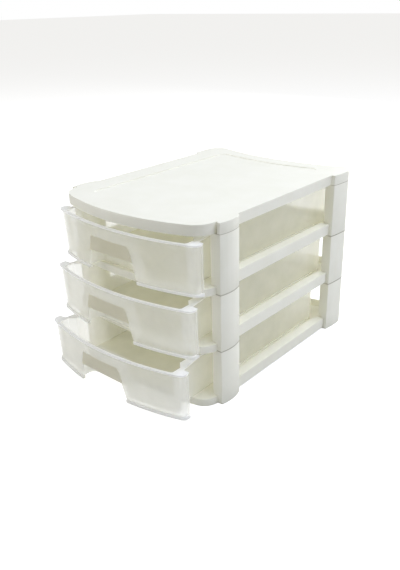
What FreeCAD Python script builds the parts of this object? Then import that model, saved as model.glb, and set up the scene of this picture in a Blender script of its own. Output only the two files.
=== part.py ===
import FreeCAD, Part
import math
import os
import Sketcher

# A4 desk organizer: three bowed drawers in an open frame of stacked shelves and corner posts.
# Millimetres. X is right, Y is back, Z is up. Plan dimensions are measured from the front face
# of the front posts, and heights from the seam under each tier.

os.makedirs("parts", exist_ok=True)
doc = FreeCAD.newDocument("drawer_organizer")
sheet = doc.addObject("Spreadsheet::Sheet", "Sizes")


class Dim:
    """A length that knows its value and the expression that gives it."""

    def __init__(self, value, text):
        self.value = value
        self.text = text

    def __add__(self, other):
        other = dim(other)
        return Dim(self.value + other.value, f"({self.text} + {other.text})")

    def __sub__(self, other):
        other = dim(other)
        return Dim(self.value - other.value, f"({self.text} - {other.text})")

    def __rsub__(self, other):
        return dim(other) - self

    def __mul__(self, other):
        other = dim(other)
        return Dim(self.value * other.value, f"({self.text} * {other.text})")

    def __truediv__(self, other):
        other = dim(other)
        return Dim(self.value / other.value, f"({self.text} / {other.text})")

    def __neg__(self):
        return Dim(-self.value, f"(0 - {self.text})")

    __radd__ = __add__
    __rmul__ = __mul__


def dim(number):
    if isinstance(number, Dim):
        return number
    return Dim(float(number), f"({float(number)!r})" if number < 0 else repr(float(number)))


def root(square):
    return Dim(math.sqrt(square.value), f"sqrt({square.text})")


rows = []


def size(name, value):
    """One driving dimension: a sheet cell with an alias."""
    rows.append(name)
    cell = f"B{len(rows)}"
    sheet.set(f"A{len(rows)}", name)
    sheet.set(cell, str(value))
    sheet.setAlias(cell, name)
    return Dim(float(value), f"Sizes.{name}")


# Heights
tier_pitch = size("tier_pitch", 84)
shelf_height = size("shelf_height", 11)
top_height = size("top_height", 15)
rail_height = size("rail_height", 20)
rail_lift = size("rail_lift", 3)
stop_height = size("stop_height", 12)

# Plan of the frame
half_width = size("half_width", 136)
rail_width = size("rail_width", 14)
shelf_bow_radius = size("shelf_bow_radius", 600)
shelf_corner_radius = size("shelf_corner_radius", 25)
shelf_corner_end = size("shelf_corner_end", 1)
top_bow_radius = size("top_bow_radius", 340)
top_corner_radius = size("top_corner_radius", 33)
top_corner_end = size("top_corner_end", 2)
groove_width = size("groove_width", 2)
groove_length = size("groove_length", 3)
back_middle = size("back_middle", 321)
back_radius = size("back_radius", 387)
shelf_back_corner = size("shelf_back_corner", 22)

# Posts
post_inset = size("post_inset", 10)
post_proud = size("post_proud", 5.4)
post_bulge_radius = size("post_bulge_radius", 61.5)
front_post_length = size("front_post_length", 44)
post_tail = size("post_tail", 5)
rear_post_start = size("rear_post_start", 281)
rear_post_back = size("rear_post_back", 341)
rear_post_proud = size("rear_post_proud", 8)
rear_post_corner = size("rear_post_corner", 26)
rear_post_radius = size("rear_post_radius", 230)
rear_post_return = size("rear_post_return", 8)
post_wall = size("post_wall", 2.2)
tenon_thickness = size("tenon_thickness", 4)
tenon_length = size("tenon_length", 22)
tenon_reach = size("tenon_reach", 8)

# Walls of the frame
frame_wall = size("frame_wall", 2.5)
top_wall = size("top_wall", 3.2)
rib_thickness = size("rib_thickness", 1.6)
rib_pitch = size("rib_pitch", 62)
guide_thickness = size("guide_thickness", 2)
guide_height = size("guide_height", 2.5)
underside_front_inset = size("underside_front_inset", 10)
underside_back_inset = size("underside_back_inset", 14)
lug_step = size("lug_step", 1)
recess_inset = size("recess_inset", 38)
recess_front = size("recess_front", -6)
recess_back = size("recess_back", 294)
recess_depth = size("recess_depth", 1.2)

# Drawers
drawer_top = size("drawer_top", 77)
panel_foot = size("panel_foot", 5.5)
panel_reach = size("panel_reach", 53.5)
panel_lean = size("panel_lean", 3)
panel_radius = size("panel_radius", 435)
panel_inset = size("panel_inset", 6)
panel_taper = size("panel_taper", 0.5)
panel_corner = size("panel_corner", 8)
panel_back = size("panel_back", -21)
panel_wall = size("panel_wall", 2.2)
rim_out = size("rim_out", 1.8)
rim_end = size("rim_end", 3.5)
rim_thickness = size("rim_thickness", 2.4)
foot_rim_height = size("foot_rim_height", 4)
end_lip = size("end_lip", 2.5)
ear_corner = size("ear_corner", 5)
tray_inset = size("tray_inset", 27)
tray_draft = size("tray_draft", 1.5)
tray_wall = size("tray_wall", 1.8)
tray_floor = size("tray_floor", 2)
tray_corner = size("tray_corner", 12)
mouth_width = size("mouth_width", 9)
mouth_corner = size("mouth_corner", 6)
mouth_back = size("mouth_back", -10)
flange_width = size("flange_width", 6.5)
flange_run = size("flange_run", 41)

# Finger pull
pull_shift = size("pull_shift", -9)
pull_top = size("pull_top", 57)
grip_foot = size("grip_foot", 36)
pull_half_top = size("pull_half_top", 35)
pull_half_foot = size("pull_half_foot", 49.7)
pull_depth = size("pull_depth", 23)
pull_corner = size("pull_corner", 10)
grip_inset = size("grip_inset", 2)
grip_wall = size("grip_wall", 2)

# Fits and poses
run_gap = size("run_gap", 0.3)
side_gap = size("side_gap", 0.5)
fit_gap = size("fit_gap", 0.3)
stop_gap = size("stop_gap", 2.5)
middle_opening = size("middle_opening", 14)
bottom_opening = size("bottom_opening", 35)

rail_inside = half_width - rail_width
post_inside = half_width - post_inset
post_edge = half_width + post_proud
rear_post_width = half_width + rear_post_proud
recess_half = half_width - recess_inset
panel_half = half_width - panel_inset
tray_half = half_width - tray_inset
tray_foot = shelf_height + run_gap
shelf_end = half_width - groove_width
tray_back = back_middle - frame_wall - stop_gap
rear_centre = -(rear_post_back - panel_reach - rim_out - bottom_opening) / 2
SEAMS = 3


def plane(body, role):
    return next(f for f in body.Origin.OriginFeatures if f.Role == role)


def arc_centre(start, end, radius, bend):
    """Centre of the minor arc from start to end; bend is 1 when it lies to the left."""
    dx = end[0] - start[0]
    dy = end[1] - start[1]
    chord = math.hypot(dx, dy)
    away = math.sqrt(max(radius ** 2 - (chord / 2) ** 2, 0.0))
    return ((start[0] + end[0]) / 2 - bend * away * dy / chord,
            (start[1] + end[1]) / 2 + bend * away * dx / chord)


def add_edge(sketch, start, end, arc):
    """Draw one line or arc and return its index and the indices of its two ends."""
    if arc is None:
        line = Part.LineSegment(FreeCAD.Vector(*start, 0), FreeCAD.Vector(*end, 0))
        return sketch.addGeometry(line, False), 1, 2
    radius, bend = arc
    centre = arc_centre(start, end, radius.value, bend)
    first, last = (start, end) if bend > 0 else (end, start)
    angles = [math.atan2(p[1] - centre[1], p[0] - centre[0]) for p in (first, last)]
    circle = Part.Circle(FreeCAD.Vector(*centre, 0), FreeCAD.Vector(0, 0, 1), radius.value)
    index = sketch.addGeometry(Part.ArcOfCircle(circle, *angles), False)
    return (index, 1, 2) if bend > 0 else (index, 2, 1)


def hold(sketch, kind, where, length):
    number = sketch.addConstraint(Sketcher.Constraint(kind, *where, length.value))
    sketch.setExpression(f"Constraints[{number}]", length.text)


def draw(body, name, path, height=None, base="XY_Plane"):
    """A closed sketch whose corners and radii are bound to the sheet.

    Each point of the path is (x, y) or (x, y, (radius, bend)) when an arc leaves it."""
    sketch = body.newObject("Sketcher::SketchObject", name)
    sketch.AttachmentSupport = [(plane(body, base), "")]
    sketch.MapMode = "FlatFace"
    if height is not None:
        sketch.AttachmentOffset = FreeCAD.Placement(
            FreeCAD.Vector(0, 0, dim(height).value), FreeCAD.Rotation())
        sketch.setExpression("AttachmentOffset.Base.z", dim(height).text)
    corners = [(dim(p[0]), dim(p[1]), p[2] if len(p) > 2 else None) for p in path]
    edges = []
    for n, (x, y, arc) in enumerate(corners):
        after = corners[(n + 1) % len(corners)]
        edges.append(add_edge(sketch, (x.value, y.value), (after[0].value, after[1].value), arc))
    for n, (index, first, last) in enumerate(edges):
        follower, its_first, _ = edges[(n + 1) % len(edges)]
        sketch.addConstraint(Sketcher.Constraint("Coincident", index, last, follower, its_first))
    for (x, y, arc), (index, first, last) in zip(corners, edges):
        hold(sketch, "DistanceX", (-1, 1, index, first), x)
        hold(sketch, "DistanceY", (-1, 1, index, first), y)
        if arc is not None:
            hold(sketch, "Radius", (index,), arc[0])
    return sketch


def pad(body, name, sketch, length):
    feature = body.newObject("PartDesign::Pad", name)
    feature.Profile = sketch
    feature.setExpression("Length", dim(length).text)
    return finish(body, feature)


def cut_up(body, name, sketch, length):
    """Pocket from the sketch's plane towards its normal."""
    feature = body.newObject("PartDesign::Pocket", name)
    feature.Profile = sketch
    feature.Reversed = True
    feature.setExpression("Length", dim(length).text)
    return finish(body, feature)


def loft(body, name, lower, upper, kind="Additive"):
    feature = body.newObject(f"PartDesign::{kind}Loft", name)
    feature.Profile = lower
    feature.Sections = [upper]
    feature.Ruled = True
    return finish(body, feature)


def finish(body, feature):
    for item in body.Group:
        if item.TypeId == "Sketcher::SketchObject":
            item.Visibility = False
    body.Tip = feature
    return feature


def new_body(label):
    body = doc.addObject("PartDesign::Body", label)
    body.Label = label
    return body


def place(body, height, opening=0):
    """Set a piece in the assembly; the origin lies under the middle of the whole object."""
    body.setExpression("Placement.Base.y", (rear_centre - opening).text)
    body.setExpression("Placement.Base.z", dim(height).text)


# Outlines

def bow(reach, radius, end, corner):
    """Bowed front: where the bow meets the corner arc, and where that arc meets the side."""
    far = radius - corner
    side = end - corner
    rise = root(far * far - side * side)
    return side * radius / far, radius - reach - rise * radius / far, radius - reach - rise


def bow_reach(radius, end, corner, corner_end):
    """How far a bow stands forward when its corner arc ends at the given depth."""
    far = radius - corner
    side = end - corner
    return radius - root(far * far - side * side) - corner_end


def hollow_back(middle, radius, end, corner):
    """Back that curves inwards: the same two places for its corner arc."""
    far = radius + corner
    side = end - corner
    rise = root(far * far - side * side)
    return side * radius / far, middle + radius - rise * radius / far, middle + radius - rise


def on_back(middle, radius, x):
    return middle + radius - root(radius * radius - x * x)


def whole(right, front_arc):
    """A symmetric outline from its right half, which runs from the front bow to the back."""
    path = list(right)
    for n in range(len(right) - 1, -1, -1):
        leaving = right[n - 1][2] if n and len(right[n - 1]) > 2 else None
        arc = leaving if n else front_arc
        path.append((-right[n][0], right[n][1]) + ((arc,) if arc else ()))
    return path


def mirrored(path):
    """The path on the left-hand side."""
    flipped = []
    for point in path:
        arc = ((point[2][0], -point[2][1]),) if len(point) > 2 else ()
        flipped.append((-dim(point[0]), point[1]) + arc)
    return flipped


def box(x1, x2, y1, y2):
    return [(x1, y1), (x2, y1), (x2, y2), (x1, y2)]


def shelf_reach():
    return bow_reach(shelf_bow_radius, shelf_end, shelf_corner_radius, shelf_corner_end)


def top_reach():
    return bow_reach(top_bow_radius, shelf_end, top_corner_radius, top_corner_end)


def shelf_outline(grow=0):
    grow = dim(grow)
    corner = shelf_corner_radius + grow
    radius = shelf_bow_radius + grow
    meet_x, meet_y, side_y = bow(shelf_reach() + grow, radius, shelf_end + grow, corner)
    back_corner = shelf_back_corner + grow
    curve = back_radius - grow
    back_x, back_y, back_side = hollow_back(back_middle + grow, curve, half_width + grow, back_corner)
    right = [(meet_x, meet_y, (corner, 1)),
             (shelf_end + grow, side_y),
             (shelf_end + grow, groove_length),
             (half_width + grow, groove_length),
             (half_width + grow, back_side, (back_corner, 1)),
             (back_x, back_y, (curve, -1))]
    return whole(right, (radius, 1))


def front_post_outline(inset=0):
    inset = dim(inset)
    tail = post_tail * 1.2
    return [(post_inside + inset, inset),
            (post_edge - inset, inset, (post_bulge_radius - inset, 1)),
            (half_width + post_tail - inset, front_post_length - post_tail - inset, (tail, 1)),
            (half_width - inset, front_post_length - inset),
            (post_inside + inset, front_post_length - inset)]


def rear_post_outline(inset=0):
    inset = dim(inset)
    inner = rear_post_width - rear_post_corner
    corner = rear_post_corner - inset
    return [(post_inside + inset, rear_post_start + inset),
            (post_edge - inset, rear_post_start + inset, (rear_post_radius - inset, 1)),
            (rear_post_width - inset, rear_post_back - rear_post_corner, (corner, 1)),
            (inner, rear_post_back - inset),
            (inner, rear_post_back - rear_post_return + inset),
            (post_inside + inset, rear_post_back - rear_post_return * 2)]


def tenon_outline(start, grow=0):
    """Tenon of a post, and with some growth the slot that takes it."""
    near = post_inside + post_wall + fit_gap
    first = start + front_post_length / 2 - tenon_length / 2
    return box(near - grow, near + tenon_thickness + grow, first - grow, first + tenon_length + grow)


def top_outline():
    meet_x, meet_y, side_y = bow(top_reach(), top_bow_radius, shelf_end, top_corner_radius)
    front = front_post_outline()
    rear = rear_post_outline()
    lug_x = half_width + lug_step
    inner = rear_post_width - rear_post_corner
    right = [(meet_x, meet_y, (top_corner_radius, 1)),
             (shelf_end, side_y),
             (shelf_end, groove_length),
             (lug_x, groove_length),
             (lug_x, dim(0)),
             front[1], front[2], front[3],
             (half_width, rear_post_start),
             rear[1], rear[2], rear[3],
             (inner, on_back(back_middle, back_radius, inner), (back_radius, -1))]
    return whole(right, (top_bow_radius, 1))


def underside_outline(reach, radius):
    """Hollow under a shelf or the top: it leaves the skirt and the four post blocks."""
    inside = post_inside - frame_wall
    start_x = inside - underside_front_inset
    curve = radius - frame_wall
    start_y = radius - reach - root(curve * curve - start_x * start_x)
    back_curve = back_radius + frame_wall
    back_x = inside - underside_back_inset
    right = [(start_x, start_y),
             (inside, -frame_wall),
             (inside, front_post_length + frame_wall),
             (half_width - frame_wall, front_post_length + frame_wall),
             (half_width - frame_wall, rear_post_start - frame_wall),
             (inside, rear_post_start - frame_wall),
             (inside, rear_post_back - rear_post_corner),
             (back_x, on_back(back_middle - frame_wall, back_curve, back_x), (back_curve, -1))]
    return whole(right, (curve, 1))


def post_starts():
    return (("front", dim(0), front_post_outline), ("rear", rear_post_start, rear_post_outline))


def both_sides(path):
    return (("right", path), ("left", mirrored(path)))


# Shelves

def add_rails(body):
    """Raised rail along each side, hollow from below, with its lower edge lifted."""
    start = front_post_length + fit_gap
    stop = rear_post_start - fit_gap
    solid = box(rail_inside, half_width, start, stop)
    hollow = box(rail_inside + frame_wall, half_width - frame_wall,
                 start + frame_wall, stop - frame_wall)
    for side, path in both_sides(solid):
        sketch = draw(body, f"rail_plan_{side}", path, shelf_height)
        pad(body, f"rail_{side}", sketch, rail_height - shelf_height)
    for side, path in both_sides(hollow):
        sketch = draw(body, f"rail_hollow_plan_{side}", path)
        cut_up(body, f"rail_hollow_{side}", sketch, rail_height - frame_wall)
    sketch = draw(body, "skirt_lift_side", box(start, stop, 0, rail_lift), base="YZ_Plane")
    feature = body.newObject("PartDesign::Pocket", "skirt_lift")
    feature.Profile = sketch
    feature.Midplane = True
    feature.setExpression("Length", (3 * half_width).text)
    finish(body, feature)


def add_stop(body):
    """Upright lip along the back that stops the drawer."""
    outer_x = rear_post_width - rear_post_corner - rear_post_return
    inner_middle = back_middle - frame_wall
    inner_curve = back_radius + frame_wall
    right = [(outer_x, on_back(inner_middle, inner_curve, outer_x)),
             (outer_x, on_back(back_middle, back_radius, outer_x), (back_radius, -1))]
    sketch = draw(body, "stop_plan", whole(right, (inner_curve, 1)), shelf_height)
    pad(body, "back_stop", sketch, stop_height)


def add_guides(body):
    """Two low ribs that keep the drawer straight."""
    near = tray_half - tray_draft + side_gap
    strip = box(near, near + guide_thickness, front_post_length / 2, rear_post_start)
    for side, path in both_sides(strip):
        sketch = draw(body, f"guide_plan_{side}", path, shelf_height)
        pad(body, f"guide_{side}", sketch, guide_height)


def add_ribs(body):
    """Cross ribs under the plate, in a row."""
    inside = rail_inside + frame_wall / 2
    first = front_post_length / 2
    sketch = draw(body, "rib_plan", box(-inside, inside, first, first + rib_thickness), rail_lift)
    rib = pad(body, "rib", sketch, shelf_height - frame_wall - rail_lift + 0.5)
    row = body.newObject("PartDesign::LinearPattern", "ribs")
    row.Originals = [rib]
    row.Direction = (sketch, ["V_Axis"])
    row.Occurrences = 5
    row.setExpression("Length", (4 * rib_pitch).text)
    finish(body, row)


def add_sockets(body, name, height, depth, grow):
    """Slots for the tenons of the posts below."""
    for end, start, _ in post_starts():
        for side, path in both_sides(tenon_outline(start, grow)):
            sketch = draw(body, f"{name}_plan_{end}_{side}", path, height)
            cut_up(body, f"{name}_{end}_{side}", sketch, depth)


def add_tenons(body, height, length, sides=("left", "right"), ends=("front", "rear")):
    for end, start, _ in post_starts():
        for side, path in both_sides(tenon_outline(start)):
            if side in sides and end in ends:
                sketch = draw(body, f"tenon_plan_{end}_{side}", path, height)
                pad(body, f"tenon_{end}_{side}", sketch, length)


def make_shelf(label, level):
    body = new_body(label)
    pad(body, "plate", draw(body, "plate_plan", shelf_outline()), shelf_height)
    hollow = draw(body, "underside_plan", underside_outline(shelf_reach(), shelf_bow_radius))
    cut_up(body, "underside", hollow, shelf_height - frame_wall)
    add_rails(body)
    add_ribs(body)
    add_stop(body)
    add_guides(body)
    if level:
        add_sockets(body, "slot", 0, shelf_height, fit_gap)
    else:
        add_tenons(body, shelf_height, tenon_reach)
    place(body, level * tier_pitch)
    return body


def make_top():
    body = new_body("top_plate")
    pad(body, "plate", draw(body, "plate_plan", top_outline()), top_height)
    hollow = draw(body, "underside_plan", underside_outline(top_reach(), top_bow_radius))
    cut_up(body, "underside", hollow, top_height - top_wall)
    meet_x, meet_y, side_y = bow(-recess_front, top_bow_radius * 2, recess_half, pull_corner)
    back_x, back_y, back_side = hollow_back(recess_back, back_radius, recess_half, pull_corner)
    right = [(meet_x, meet_y, (pull_corner, 1)), (recess_half, side_y),
             (recess_half, back_side, (pull_corner, 1)), (back_x, back_y, (back_radius, -1))]
    sketch = draw(body, "recess_plan", whole(right, (top_bow_radius * 2, 1)),
                  top_height - recess_depth)
    cut_up(body, "recess", sketch, recess_depth)
    add_sockets(body, "socket", 0, top_height - top_wall, fit_gap)
    place(body, SEAMS * tier_pitch)
    return body


# Posts

def make_post(label, level, end, side):
    """Hollow moulded post: it stands on a shelf corner and wraps round the shelf's edge."""
    start, outline = next((s, o) for e, s, o in post_starts() if e == end)
    turn = mirrored if side == "left" else list
    body = new_body(label)
    pad(body, "column", draw(body, "column_plan", turn(outline())), tier_pitch)
    cut_up(body, "shelf_seat", draw(body, "shelf_seat_plan", shelf_outline(fit_gap)), shelf_height)
    core = draw(body, "core_plan", turn(outline(post_wall)), shelf_height)
    cut_up(body, "core", core, tier_pitch - shelf_height - post_wall)
    reach = tenon_reach + (shelf_height if level < SEAMS - 1 else 0)
    sketch = draw(body, "tenon_plan", turn(tenon_outline(start)), tier_pitch)
    pad(body, "tenon", sketch, reach)
    place(body, level * tier_pitch)
    return body


# Drawers

def panel_outline(reach, half, out=0, end=0, lip=0):
    """Crescent of the drawer's front wall, standing proud by out in front and by end at its ends."""
    out = dim(out)
    end = dim(end)
    radius = panel_radius + out
    corner = panel_corner + out
    meet_x, meet_y, side_y = bow(reach + out, radius, half + end, corner)
    inner_radius = panel_radius - panel_wall
    inner_corner = panel_corner - panel_wall
    in_x, in_y, in_side = bow(reach - panel_wall, inner_radius, half - panel_wall, inner_corner)
    edge = panel_back - panel_wall
    right = [(meet_x, meet_y, (corner, 1)), (half + end, side_y)]
    if lip:
        right += [(half + end, edge), (half + lip, edge), (half + lip, panel_back)]
    else:
        right += [(half + end, panel_back)]
    right += [(half - panel_wall, panel_back),
              (half - panel_wall, in_side, (inner_corner, -1)),
              (in_x, in_y, (inner_radius, -1))]
    return whole(right, (radius, 1))


def tray_outline(half, reach, radius, middle, wall=0):
    """Plan of the tray: bowed front, sides that step out at its mouth, back curved inwards."""
    wide = half + mouth_width
    corner = tray_corner - wall
    meet_x, meet_y, side_y = bow(reach, radius, wide, mouth_corner - wall)
    slant = mouth_back - wall * (root(dim(2)) - 1)
    curve = back_radius + frame_wall + stop_gap
    back_x, back_y, back_side = hollow_back(middle, curve, half, corner)
    right = [(meet_x, meet_y, (mouth_corner - wall, 1)), (wide, side_y),
             (wide, slant - mouth_width), (half, slant),
             (half, back_side, (corner, 1)), (back_x, back_y, (curve, -1))]
    return whole(right, (radius, 1))


def flange_outline():
    """Rim round the whole drawer: proud of the front, and a flange along the tray."""
    out = dim(rim_out)
    half = panel_half + rim_end
    radius = panel_radius + out
    corner = panel_corner + out
    meet_x, meet_y, side_y = bow(panel_reach + out, radius, half, corner)
    side = tray_half + flange_width
    curve = back_radius + frame_wall + stop_gap
    edge = tray_back + 4
    back_x, back_y, back_side = hollow_back(edge, curve, side, tray_corner)
    right = [(meet_x, meet_y, (corner, 1)),
             (half, side_y),
             (half, panel_back - ear_corner, (ear_corner, 1)),
             (half - ear_corner, panel_back),
             (side + flange_width, panel_back),
             (side, panel_back + flange_run),
             (side, back_side, (tray_corner, 1)),
             (back_x, back_y, (curve, -1))]
    return whole(right, (radius, 1))


def pull_outline(half, front, back, corner):
    """Plan of the finger pocket, which sits a little left of the middle."""
    left = pull_shift - half
    right = pull_shift + half
    return [(left, front), (right, front), (right, back - corner, (corner, 1)),
            (right - corner, back), (left + corner, back, (corner, 1)), (left, back - corner)]


def add_front(body):
    """Bowed front wall, leaning out at the top, with a rim at its foot and at both ends."""
    foot_reach = panel_reach - panel_lean
    foot_half = panel_half - panel_taper
    low = draw(body, "front_foot_plan", panel_outline(foot_reach, foot_half, lip=end_lip), panel_foot)
    high = draw(body, "front_top_plan", panel_outline(panel_reach, panel_half, lip=end_lip),
                drawer_top)
    loft(body, "front", low, high)
    rim = draw(body, "foot_rim_plan", panel_outline(foot_reach, foot_half, rim_out, rim_end), panel_foot)
    pad(body, "foot_rim", rim, foot_rim_height)


def add_tray(body):
    half = tray_half
    low_half = tray_half - tray_draft
    middle = panel_wall / 2
    radius = panel_radius - middle
    low = draw(body, "tray_foot_plan",
               tray_outline(low_half, panel_reach - panel_lean - middle, radius,
                            tray_back - tray_draft), tray_foot)
    high = draw(body, "tray_top_plan",
                tray_outline(half, panel_reach - middle, radius, tray_back), drawer_top)
    loft(body, "tray", low, high)
    flange = draw(body, "flange_plan", flange_outline(), drawer_top - rim_thickness)
    pad(body, "flange", flange, rim_thickness)


def add_cavity(body):
    inner_radius = panel_radius - panel_wall
    low = draw(body, "cavity_foot_plan",
               tray_outline(tray_half - tray_draft - tray_wall, panel_reach - panel_lean - panel_wall,
                            inner_radius, tray_back - tray_draft - tray_wall, tray_wall),
               tray_foot + tray_floor)
    high = draw(body, "cavity_top_plan",
                tray_outline(tray_half - tray_wall, panel_reach - panel_wall, inner_radius,
                             tray_back - tray_wall, tray_wall), drawer_top)
    loft(body, "cavity", low, high, "Subtractive")


def add_pull(body):
    """Finger pocket open to the front and below, with a grip plate across its upper part."""
    face = -(panel_reach - panel_lean)
    back = face + pull_depth
    slope = (pull_half_foot - pull_half_top) / pull_top
    wall = tray_wall
    low_half = pull_half_foot - slope * tray_foot + wall
    low = draw(body, "pocket_wall_foot_plan",
               pull_outline(low_half, face + wall, back + wall, pull_corner + wall), tray_foot)
    high = draw(body, "pocket_wall_top_plan",
                pull_outline(pull_half_top - slope * wall + wall, face + wall, back + wall,
                             pull_corner + wall), pull_top + wall)
    loft(body, "pocket_wall", low, high)
    front = face - pull_depth
    low = draw(body, "pocket_foot_plan", pull_outline(pull_half_foot, front, back, pull_corner), 0)
    high = draw(body, "pocket_top_plan", pull_outline(pull_half_top, front, back, pull_corner),
                pull_top)
    loft(body, "pocket", low, high, "Subtractive")
    grip_half = pull_half_top + slope * (pull_top - grip_foot)
    grip_head = pull_top + wall / 2
    grip = [(pull_shift - grip_half - wall, grip_foot), (pull_shift + grip_half + wall, grip_foot),
            (pull_shift + pull_half_top + wall, grip_head),
            (pull_shift - pull_half_top - wall, grip_head)]
    sketch = draw(body, "grip_face", grip, panel_reach - grip_inset - grip_wall, base="XZ_Plane")
    pad(body, "grip", sketch, grip_wall)


def make_drawer(label, level, opening):
    body = new_body(label)
    add_front(body)
    add_tray(body)
    add_cavity(body)
    add_pull(body)
    place(body, level * tier_pitch, opening)
    return body


def check(pieces):
    for piece in pieces:
        states = [state for item in [piece] + piece.Group for state in item.State]
        if "Invalid" in states or "Error" in states:
            raise RuntimeError(f"{piece.Label} did not compute")
        if piece.Shape.isNull() or not piece.Shape.isValid() or len(piece.Shape.Solids) != 1:
            raise RuntimeError(f"{piece.Label} is not one valid solid")


pieces = [make_shelf("base_shelf", 0), make_shelf("middle_shelf", 1), make_shelf("upper_shelf", 2)]
pieces.append(make_top())
for level, tier in enumerate(("bottom", "middle", "upper")):
    for end in ("front", "rear"):
        for side in ("left", "right"):
            pieces.append(make_post(f"{tier}_post_{end}_{side}", level, end, side))
pieces.append(make_drawer("bottom_drawer", 0, bottom_opening))
pieces.append(make_drawer("middle_drawer", 1, middle_opening))
pieces.append(make_drawer("upper_drawer", 2, dim(0)))

doc.recompute()
check(pieces)
for piece in pieces:
    piece.Shape.exportStep(f"parts/{piece.Label}.step")
    print(piece.Label, round(piece.Shape.Volume / 1000, 1), "cm3")
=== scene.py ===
import math

import bpy
from mathutils import Matrix, Vector


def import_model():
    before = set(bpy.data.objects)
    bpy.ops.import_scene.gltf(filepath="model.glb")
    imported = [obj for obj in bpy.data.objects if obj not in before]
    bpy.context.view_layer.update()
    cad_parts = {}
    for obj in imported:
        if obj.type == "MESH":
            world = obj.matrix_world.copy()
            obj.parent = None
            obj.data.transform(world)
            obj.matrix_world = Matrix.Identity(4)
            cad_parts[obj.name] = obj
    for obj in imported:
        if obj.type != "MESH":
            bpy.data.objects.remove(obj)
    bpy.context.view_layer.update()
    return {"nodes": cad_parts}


# Desktop drawer organizer: ivory frame and three milky drawers. Metres and watts.

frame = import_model()
nodes = frame["nodes"]

POSTS = [name for name in nodes if "post" in name]
PLATES = [name for name in nodes if "shelf" in name or "plate" in name]
DRAWERS = ["bottom_drawer", "middle_drawer", "upper_drawer"]

# Frame, with the front face of the front posts
TIER_PITCH = 0.084
FRONT_Y = -0.12535
# Half width and colour of the painted seam shade, a shadow line painted where one tier's posts stand
# on the next
SEAM_SHADE_HALF_WIDTH = 0.0008
SEAM_PAINTED_SHADE = (0.50, 0.48, 0.38, 1)

# Drawers: how far each one is open, heights from its tier's foot, depths from its own front line
OPENINGS = {"bottom_drawer": 0.035, "middle_drawer": 0.014, "upper_drawer": 0.0}
DRAWER_TOP = 0.077
PANEL_FOOT = 0.0055
PANEL_REACH = 0.0535
RIM_THICKNESS = 0.0024
FOOT_RIM_HEIGHT = 0.004
FOOT_RIM_BACK = -0.0215
RIM_MARGIN = 0.0002

# Finger pull, a little left of the middle, and the grip plate across its upper part, which gets
# painted shade
PULL_SHIFT = -0.009
PULL_TOP = 0.057
PULL_HALF_TOP = 0.035
PULL_HALF_FOOT = 0.0497
GRIP_FOOT = 0.036
GRIP_INSET = 0.002
GRIP_EDGE_MARGIN = 0.0005
GRIP_SIDE_MARGIN = 0.0025
GRIP_FACE_MARGIN = 0.0006

# Places of the grip's painted shade and the rims' painted highlight among a drawer's materials
GRIP_SHADE_SLOT = 1
RIM_HIGHLIGHT_SLOT = 2

# Rounded edges
POST_EDGE = 0.0008
PLATE_EDGE = 0.0006
DRAWER_EDGE = 0.0004
EDGE_SEGMENTS = 2
EDGE_ANGLE = math.radians(40)
WELD_DISTANCE = 0.00001

# Plastics
NOISE_LOW = 0.3
NOISE_HIGH = 0.7
IVORY_IOR = 1.49
MILKY_IOR = 1.45
CLEAR_COLOUR = (0.99, 0.99, 0.98, 1)
COVER_SPREAD = 0.03
GRAIN_HEIGHT = 0.00003

# Surroundings
FLOOR_SIZE = 40
FLOOR_COLOUR = (0.75, 0.75, 0.75, 1)
FLOOR_ROUGHNESS = 0.9
FLOOR_GLOW = 0.7
AMBIENT_COLOUR = (1, 0.97, 0.88, 1)
AMBIENT_STRENGTH = 0.24
LIGHT_BOUNCES = 24
DIFFUSE_BOUNCES = 12

# Camera
CAMERA_AZIMUTH = math.radians(40.31)
CAMERA_ELEVATION = math.radians(24.03)
CAMERA_ROLL = math.radians(-1.15)
CAMERA_DISTANCE = 1.0375
CAMERA_TARGET = Vector((-0.0006, 0.02465, 0.09605))
IMAGE_WIDTH = 400
IMAGE_HEIGHT = 570
FOCAL_PIXELS = 634.14
CENTRE_PIXEL = (211.56, 282.09)
SENSOR_WIDTH = 36.0
CLIP_START = 0.05
CLIP_END = 100


# Shader helpers

def new_material(name):
    material = bpy.data.materials.new(name)
    material.use_nodes = True
    tree = material.node_tree
    return material, tree, tree.nodes["Principled BSDF"]


def add_node(tree, kind, **settings):
    node = tree.nodes.new(kind)
    for name, value in settings.items():
        setattr(node, name, value)
    return node


def colour_sockets(sockets):
    return [socket for socket in sockets if socket.type == "RGBA"]


def to_surface(tree, shader):
    tree.links.new(shader.outputs[0], tree.nodes["Material Output"].inputs["Surface"])


def calculate(tree, operation, source, *numbers):
    """Maths on a texture value, with the numbers as the further inputs."""
    step = add_node(tree, "ShaderNodeMath", operation=operation)
    for place, number in enumerate(numbers, start=1):
        step.inputs[place].default_value = number
    tree.links.new(source, step.inputs[0])
    return step.outputs[0]


def noise(tree, scale, detail, stretch=None):
    """Noise in the object's own space, in cycles per metre."""
    source = add_node(tree, "ShaderNodeTexCoord").outputs["Object"]
    if stretch is not None:
        mapping = add_node(tree, "ShaderNodeMapping")
        mapping.inputs["Scale"].default_value = stretch
        tree.links.new(source, mapping.inputs["Vector"])
        source = mapping.outputs["Vector"]
    texture = add_node(tree, "ShaderNodeTexNoise")
    texture.inputs["Scale"].default_value = scale
    texture.inputs["Detail"].default_value = detail
    tree.links.new(source, texture.inputs["Vector"])
    return texture.outputs["Fac"]


def spread(tree, source, low, high):
    """The noise rescaled to the range low to high."""
    ramp = add_node(tree, "ShaderNodeMapRange")
    ramp.inputs["From Min"].default_value = NOISE_LOW
    ramp.inputs["From Max"].default_value = NOISE_HIGH
    ramp.inputs["To Min"].default_value = low
    ramp.inputs["To Max"].default_value = high
    tree.links.new(source, ramp.inputs["Value"])
    return ramp.outputs["Result"]


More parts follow.
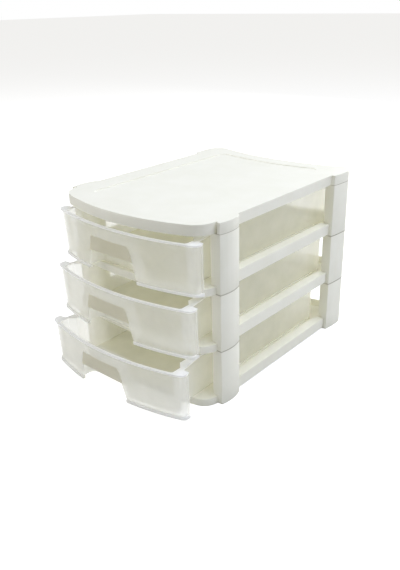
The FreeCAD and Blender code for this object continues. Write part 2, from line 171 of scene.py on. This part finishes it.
def tint(tree, source, dark, light):
    """Colour between two tones, by the noise."""
    mix = add_node(tree, "ShaderNodeMix", data_type="RGBA")
    low, high = colour_sockets(mix.inputs)
    low.default_value = (*dark, 1)
    high.default_value = (*light, 1)
    tree.links.new(source, mix.inputs["Factor"])
    return colour_sockets(mix.outputs)[0]


def bump(tree, source, distance, strength, after=None):
    node = add_node(tree, "ShaderNodeBump")
    node.inputs["Strength"].default_value = strength
    node.inputs["Distance"].default_value = distance
    tree.links.new(source, node.inputs["Height"])
    if after is not None:
        tree.links.new(after, node.inputs["Normal"])
    return node.outputs["Normal"]


# Materials

def painted_seam_line(tree, colour):
    """Painted shade: darken the colour in a thin line where one tier's post stands on the next, as the
    seam's shadow.
    """
    place = add_node(tree, "ShaderNodeTexCoord")
    axes = add_node(tree, "ShaderNodeSeparateXYZ")
    tree.links.new(place.outputs["Object"], axes.inputs["Vector"])
    shifted = calculate(tree, "ADD", axes.outputs["Z"], TIER_PITCH / 2)
    phase = calculate(tree, "MODULO", shifted, TIER_PITCH)
    shadow_line_mask = calculate(tree, "COMPARE", phase, TIER_PITCH / 2, SEAM_SHADE_HALF_WIDTH)
    mix = add_node(tree, "ShaderNodeMix", data_type="RGBA")
    start, shade = colour_sockets(mix.inputs)
    shade.default_value = SEAM_PAINTED_SHADE
    tree.links.new(colour, start)
    tree.links.new(shadow_line_mask, mix.inputs["Factor"])
    return colour_sockets(mix.outputs)[0]


def ivory_plastic(name, with_painted_seams=False):
    """Opaque moulded plastic with a fine satin grain and faint flow clouds, and with painted shade
    along the post seams when asked for.
    """
    material, tree, shader = new_material(name)
    clouds = spread(tree, noise(tree, 28.0, 3.0), 0.0, 1.0)
    colour = tint(tree, clouds, (0.89, 0.88, 0.77), (0.92, 0.91, 0.81))
    # painted shade: a dark line at each seam between the tiers' posts
    if with_painted_seams:
        colour = painted_seam_line(tree, colour)
    tree.links.new(colour, shader.inputs["Base Color"])
    sheen = spread(tree, noise(tree, 90.0, 5.0), 0.34, 0.46)
    tree.links.new(sheen, shader.inputs["Roughness"])
    grain = bump(tree, noise(tree, 2600.0, 2.0), GRAIN_HEIGHT, 0.35)
    wave = bump(tree, noise(tree, 14.0, 2.0), 0.0004, 0.2, grain)
    tree.links.new(wave, shader.inputs["Normal"])
    shader.inputs["IOR"].default_value = IVORY_IOR
    return material


def milky_skin(tree, shader):
    """Cloudy sheen with a fine grain and the long waves of the flow; the waves' normal is returned."""
    haze = spread(tree, noise(tree, 120.0, 5.0), 0.30, 0.42)
    tree.links.new(haze, shader.inputs["Roughness"])
    grain = bump(tree, noise(tree, 1800.0, 2.0), GRAIN_HEIGHT, 0.4)
    flow = bump(tree, noise(tree, 9.0, 2.0, (1.0, 1.0, 5.0)), 0.0006, 0.2, grain)
    tree.links.new(flow, shader.inputs["Normal"])
    shader.inputs["IOR"].default_value = MILKY_IOR
    return flow


def glowing(tree, shader, colour, normal, share):
    """The shader, with a share of the light spread inside the wall."""
    through = add_node(tree, "ShaderNodeBsdfTranslucent")
    tree.links.new(colour, through.inputs["Color"])
    tree.links.new(normal, through.inputs["Normal"])
    body = add_node(tree, "ShaderNodeMixShader")
    body.inputs["Fac"].default_value = share
    tree.links.new(shader.outputs["BSDF"], body.inputs[1])
    tree.links.new(through.outputs["BSDF"], body.inputs[2])
    return body


def see_through(tree, body, opacity):
    """The body, uneven in cover, with what lies behind it showing through."""
    clear = add_node(tree, "ShaderNodeBsdfTransparent")
    clear.inputs["Color"].default_value = CLEAR_COLOUR
    cover = spread(tree, noise(tree, 35.0, 4.0), opacity - COVER_SPREAD, opacity + COVER_SPREAD)
    skin = add_node(tree, "ShaderNodeMixShader")
    tree.links.new(cover, skin.inputs["Fac"])
    tree.links.new(clear.outputs["BSDF"], skin.inputs[1])
    tree.links.new(body.outputs["Shader"], skin.inputs[2])
    return skin


def milky_plastic(name, dark, light, opacity, glow):
    """Translucent moulded plastic of two cloudy tones."""
    material, tree, shader = new_material(name)
    clouds = spread(tree, noise(tree, 22.0, 3.0), 0.0, 1.0)
    colour = tint(tree, clouds, dark, light)
    tree.links.new(colour, shader.inputs["Base Color"])
    normal = milky_skin(tree, shader)
    body = glowing(tree, shader, colour, normal, glow)
    to_surface(tree, see_through(tree, body, opacity))
    return material


# Pieces

def soften(node, width):
    """Rounded edges of a moulded piece."""
    weld = node.modifiers.new("weld", "WELD")
    weld.merge_threshold = WELD_DISTANCE
    edge = node.modifiers.new("rounded", "BEVEL")
    edge.width = width
    edge.segments = EDGE_SEGMENTS
    edge.limit_method = "ANGLE"
    edge.angle_limit = EDGE_ANGLE
    edge.use_clamp_overlap = True
    edge.harden_normals = True


def dress(names, materials, width):
    for name in names:
        node = nodes[name]
        node.data.materials.clear()
        for material in materials:
            node.data.materials.append(material)
        soften(node, width)


def in_grip_shade(x, depth, height):
    """Whether the place is on the grip plate's face, which widens downwards with the pull and gets the
    pocket's painted shade.
    """
    slope = (PULL_HALF_FOOT - PULL_HALF_TOP) / PULL_TOP
    half = PULL_HALF_TOP + slope * (PULL_TOP - height)
    level = GRIP_FOOT - GRIP_EDGE_MARGIN < height < PULL_TOP + GRIP_EDGE_MARGIN
    across = abs(x - PULL_SHIFT) < half + GRIP_SIDE_MARGIN
    return level and across and abs(depth + PANEL_REACH - GRIP_INSET) < GRIP_FACE_MARGIN


def in_rim_highlight(depth, height):
    """Whether the place is on the flange round the mouth or on the front's foot rim, which get the
    painted highlight.
    """
    if height > DRAWER_TOP - RIM_THICKNESS - RIM_MARGIN:
        return True
    return height < PANEL_FOOT + FOOT_RIM_HEIGHT + RIM_MARGIN and depth < FOOT_RIM_BACK


def paint_drawer_shade_highlight(name, level):
    """Give the grip plate painted shade and the thick rims a painted highlight, each as a material of
    its own.
    """
    front = FRONT_Y - OPENINGS[name]
    foot = level * TIER_PITCH
    for face in nodes[name].data.polygons:
        x, y, z = face.center
        depth = y - front
        height = z - foot
        if in_grip_shade(x, depth, height):
            face.material_index = GRIP_SHADE_SLOT
        elif in_rim_highlight(depth, height):
            face.material_index = RIM_HIGHLIGHT_SLOT


# Surroundings

def floor():
    """Wide flat floor, brightened for the camera alone."""
    bpy.ops.mesh.primitive_plane_add(size=FLOOR_SIZE, location=(0, 0, 0))
    plane = bpy.context.object
    plane.name = "floor"
    material, tree, shader = new_material("floor")
    shader.inputs["Base Color"].default_value = FLOOR_COLOUR
    shader.inputs["Roughness"].default_value = FLOOR_ROUGHNESS
    seen = add_node(tree, "ShaderNodeLightPath").outputs["Is Camera Ray"]
    glow = add_node(tree, "ShaderNodeEmission")
    tree.links.new(calculate(tree, "MULTIPLY", seen, FLOOR_GLOW), glow.inputs["Strength"])
    both = add_node(tree, "ShaderNodeAddShader")
    tree.links.new(shader.outputs["BSDF"], both.inputs[0])
    tree.links.new(glow.outputs["Emission"], both.inputs[1])
    to_surface(tree, both)
    plane.data.materials.append(material)


def lamp(name, size, place, aim, colour, power):
    data = bpy.data.lights.new(name, "AREA")
    data.shape = "RECTANGLE"
    data.size, data.size_y = size
    data.energy = power
    data.color = colour
    light = bpy.data.objects.new(name, data)
    light.location = place
    light.rotation_euler = (Vector(aim) - Vector(place)).to_track_quat("-Z", "Y").to_euler()
    bpy.context.scene.collection.objects.link(light)


def world():
    """White to the camera and through clear walls, and a weak warm light to all else."""
    surroundings = bpy.data.worlds.new("studio")
    bpy.context.scene.world = surroundings
    surroundings.use_nodes = True
    tree = surroundings.node_tree
    tree.nodes.clear()
    paths = add_node(tree, "ShaderNodeLightPath")
    seen = add_node(tree, "ShaderNodeMath", operation="MAXIMUM")
    tree.links.new(paths.outputs["Is Camera Ray"], seen.inputs[0])
    tree.links.new(paths.outputs["Is Transmission Ray"], seen.inputs[1])
    ambient = add_node(tree, "ShaderNodeBackground")
    ambient.inputs["Color"].default_value = AMBIENT_COLOUR
    ambient.inputs["Strength"].default_value = AMBIENT_STRENGTH
    white = add_node(tree, "ShaderNodeBackground")
    white.inputs["Color"].default_value = (1, 1, 1, 1)
    mix = add_node(tree, "ShaderNodeMixShader")
    tree.links.new(seen.outputs[0], mix.inputs["Fac"])
    tree.links.new(ambient.outputs[0], mix.inputs[1])
    tree.links.new(white.outputs[0], mix.inputs[2])
    output = add_node(tree, "ShaderNodeOutputWorld")
    tree.links.new(mix.outputs[0], output.inputs["Surface"])


def camera_turn():
    """The camera's three axes, as columns: right, up and back."""
    az, el, roll = CAMERA_AZIMUTH, CAMERA_ELEVATION, CAMERA_ROLL
    back = Vector((math.sin(az) * math.cos(el), -math.cos(az) * math.cos(el), math.sin(el)))
    right = Vector((math.cos(az), math.sin(az), 0))
    up = back.cross(right)
    tilted_right = right * math.cos(roll) + up * math.sin(roll)
    tilted_up = up * math.cos(roll) - right * math.sin(roll)
    return Matrix((tilted_right, tilted_up, back)).transposed(), back


def camera():
    data = bpy.data.cameras.new("camera")
    data.sensor_fit = "HORIZONTAL"
    data.sensor_width = SENSOR_WIDTH
    data.lens = FOCAL_PIXELS / IMAGE_WIDTH * SENSOR_WIDTH
    data.shift_x = (IMAGE_WIDTH / 2 - CENTRE_PIXEL[0]) / IMAGE_WIDTH
    data.shift_y = (CENTRE_PIXEL[1] - IMAGE_HEIGHT / 2) / IMAGE_WIDTH
    data.clip_start = CLIP_START
    data.clip_end = CLIP_END
    eye = bpy.data.objects.new("camera", data)
    turn, back = camera_turn()
    eye.matrix_world = Matrix.Translation(CAMERA_TARGET + back * CAMERA_DISTANCE) @ turn.to_4x4()
    bpy.context.scene.collection.objects.link(eye)
    bpy.context.scene.camera = eye


def lamps():
    lamp("overhead", size=(2.0, 2.0), place=(0.4, 0.2, 2.2), aim=(0, 0, 0.1),
         colour=(0.81, 0.86, 1.0), power=40)
    lamp("right", size=(1.4, 1.4), place=(1.8, 1.0, 1.9), aim=(0, 0, 0.12),
         colour=(0.83, 0.88, 1.0), power=14)
    lamp("left", size=(1.4, 1.2), place=(-1.9, -1.4, 0.9), aim=(0, 0, 0.12),
         colour=(1.0, 0.98, 0.95), power=19)
    lamp("rear", size=(1.6, 1.2), place=(0.0, 2.4, 0.7), aim=(0, 0, 0.12),
         colour=(1.0, 0.99, 0.98), power=40)


def drawer_walls_shade_highlight():
    """Wall, grip plate with painted shade and rims with a painted highlight, in the order of their
    slots.
    """
    wall = milky_plastic("milky_plastic", dark=(0.98, 0.98, 0.96), light=(0.995, 0.995, 0.98),
                         opacity=0.42, glow=0.5)
    # grip plate: a darker, less clear beige, painted shade of the pocket behind it
    grip_shade = milky_plastic("milky_grip_shade", dark=(0.72, 0.69, 0.56), light=(0.76, 0.73, 0.61),
                         opacity=0.75, glow=0.4)
    # rims: a more opaque white, a painted highlight along the edges
    rim_highlight = milky_plastic("milky_rim_highlight", dark=(0.98, 0.98, 0.97), light=(0.99, 0.99, 0.985),
                        opacity=0.85, glow=0.3)
    return [wall, grip_shade, rim_highlight]


camera()
floor()
world()
lamps()
bpy.context.scene.view_settings.view_transform = "Standard"
bpy.context.scene.cycles.max_bounces = LIGHT_BOUNCES
bpy.context.scene.cycles.diffuse_bounces = DIFFUSE_BOUNCES
bpy.context.scene.cycles.transparent_max_bounces = LIGHT_BOUNCES

# the posts get the painted seam shade
dress(POSTS, [ivory_plastic("ivory_post_painted_seams", with_painted_seams=True)], POST_EDGE)
dress(PLATES, [ivory_plastic("ivory_plastic")], PLATE_EDGE)
dress(DRAWERS, drawer_walls_shade_highlight(), DRAWER_EDGE)
# painted shade on the grip plates and painted highlight on the rims
for level, name in enumerate(DRAWERS):
    paint_drawer_shade_highlight(name, level)
